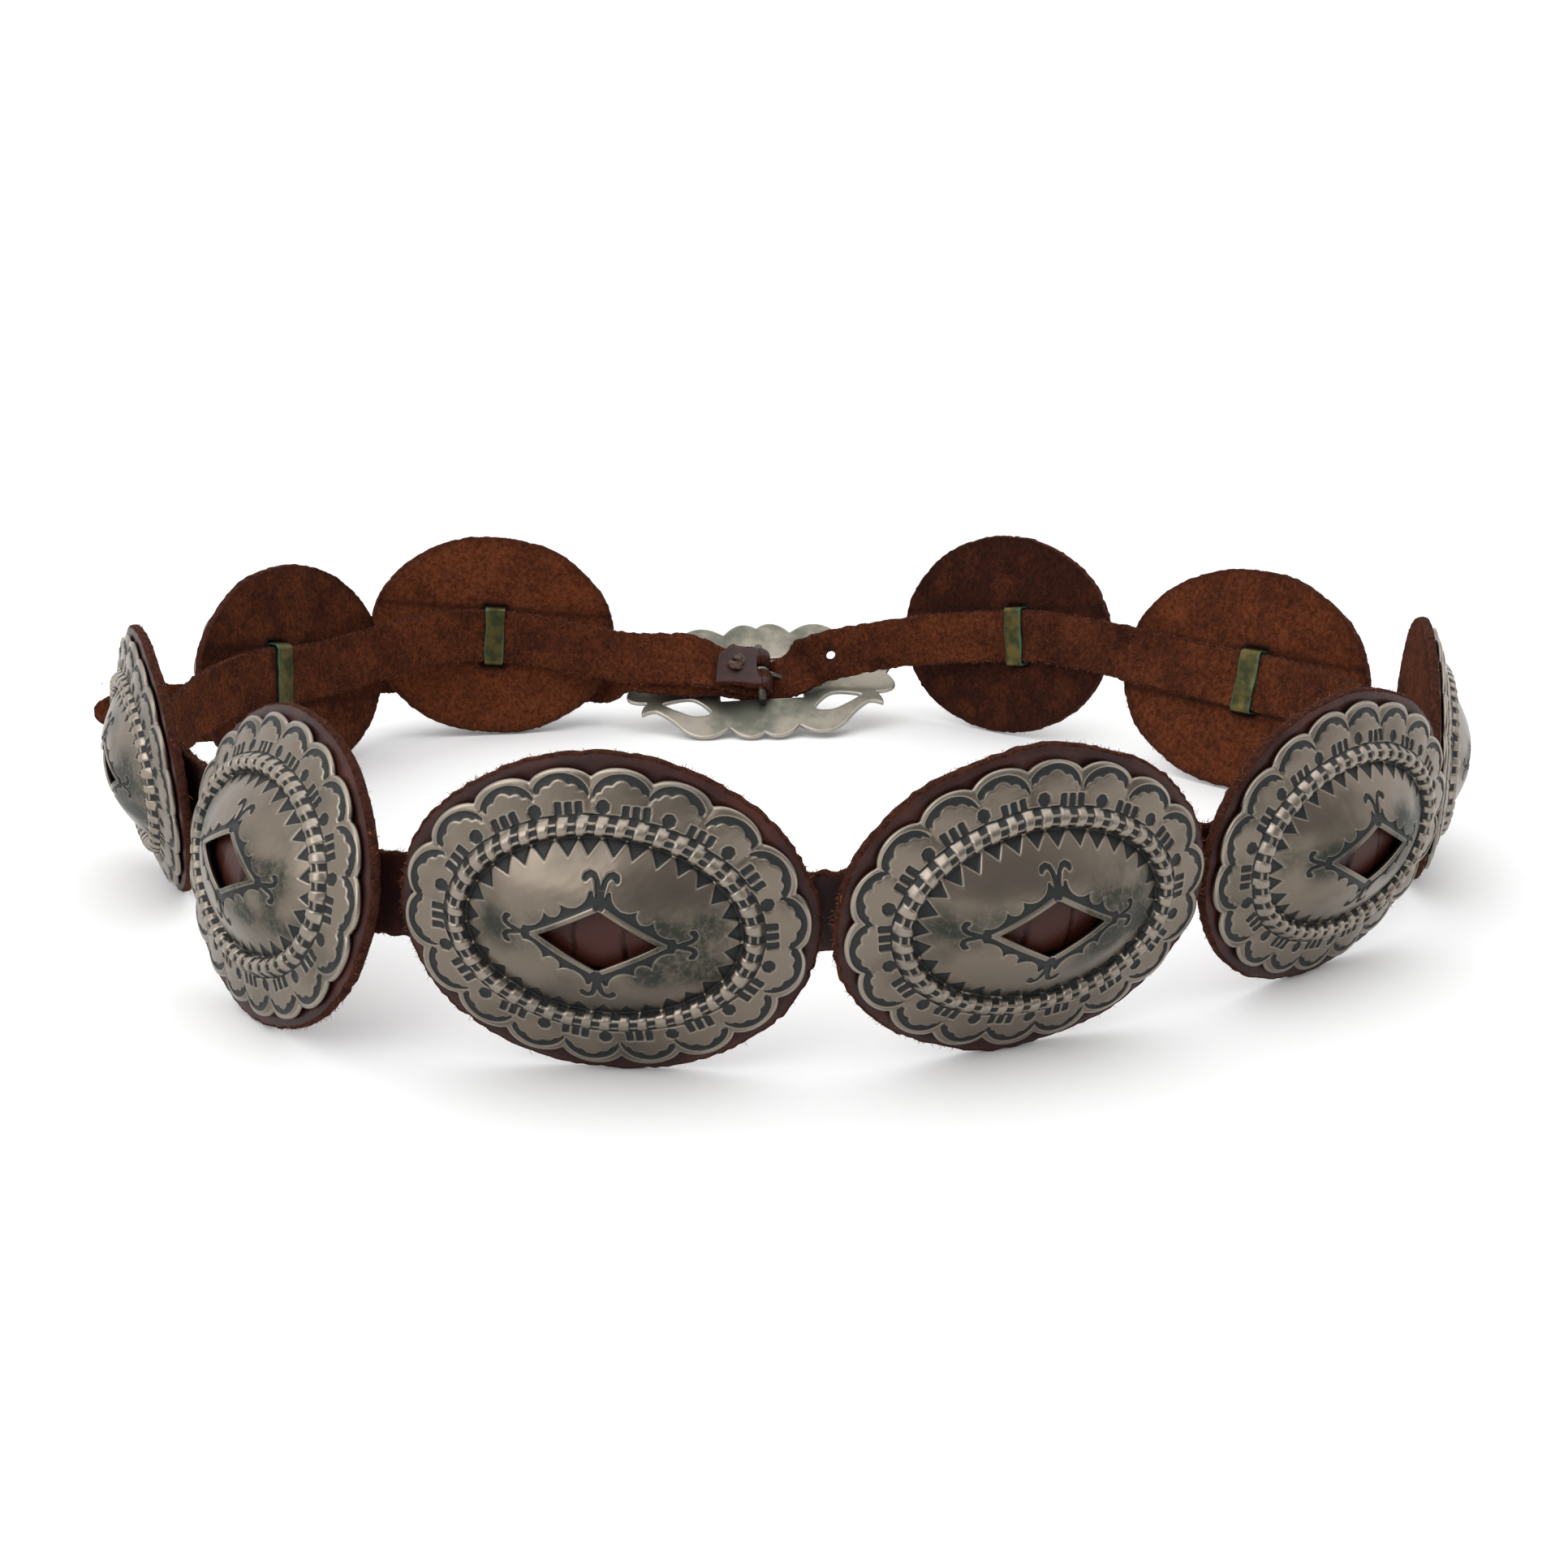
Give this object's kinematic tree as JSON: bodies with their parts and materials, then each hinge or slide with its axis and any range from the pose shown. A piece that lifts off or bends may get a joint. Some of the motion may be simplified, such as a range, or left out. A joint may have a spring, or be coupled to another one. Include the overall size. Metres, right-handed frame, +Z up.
{
  "type": "concho belt",
  "caption": "Fastened concho belt standing in an open ring: domed stamped ovals over leather discs, carried on one leather strap, with a pierced plate buckle and a free tail.",
  "frame": {"origin": "centre of the bounding box at the level the belt stands on", "axes": "+Z up, across the height of the discs; +X to the viewer's right, along the ring's long way; +Y away from the viewer, towards the buckle"},
  "size_m": [0.4252, 0.3332, 0.0754],
  "materials": {
    "silver": "stamped silver, worn bright on the raised parts, blackened in the stamps",
    "buckle_silver": "dull silver with cloudy tarnish and worn edges",
    "disc_leather": "smooth dark front, fuzzy cut edge, suede back",
    "strap_leather": "suede inside, smooth dark outside, fibrous edges",
    "tongue_metal": "grey worn rod",
    "lace_leather": "dark waxed thong"
  },
  "bodies": {
    "root": {"concho_1": "silver", "concho_2": "silver", "concho_3": "silver", "concho_4": "silver", "concho_5": "silver", "concho_6": "silver", "concho_7": "silver", "concho_8": "silver", "concho_9": "silver", "concho_10": "silver", "backing_1": "disc_leather", "backing_2": "disc_leather", "backing_3": "disc_leather", "backing_4": "disc_leather", "backing_5": "disc_leather", "backing_6": "disc_leather", "backing_7": "disc_leather", "backing_8": "disc_leather", "backing_9": "disc_leather", "backing_10": "disc_leather", "belt_strap": "strap_leather", "buckle": "buckle_silver", "tongue": "tongue_metal", "strap_lace": "lace_leather"}
  },
  "joints": []
}
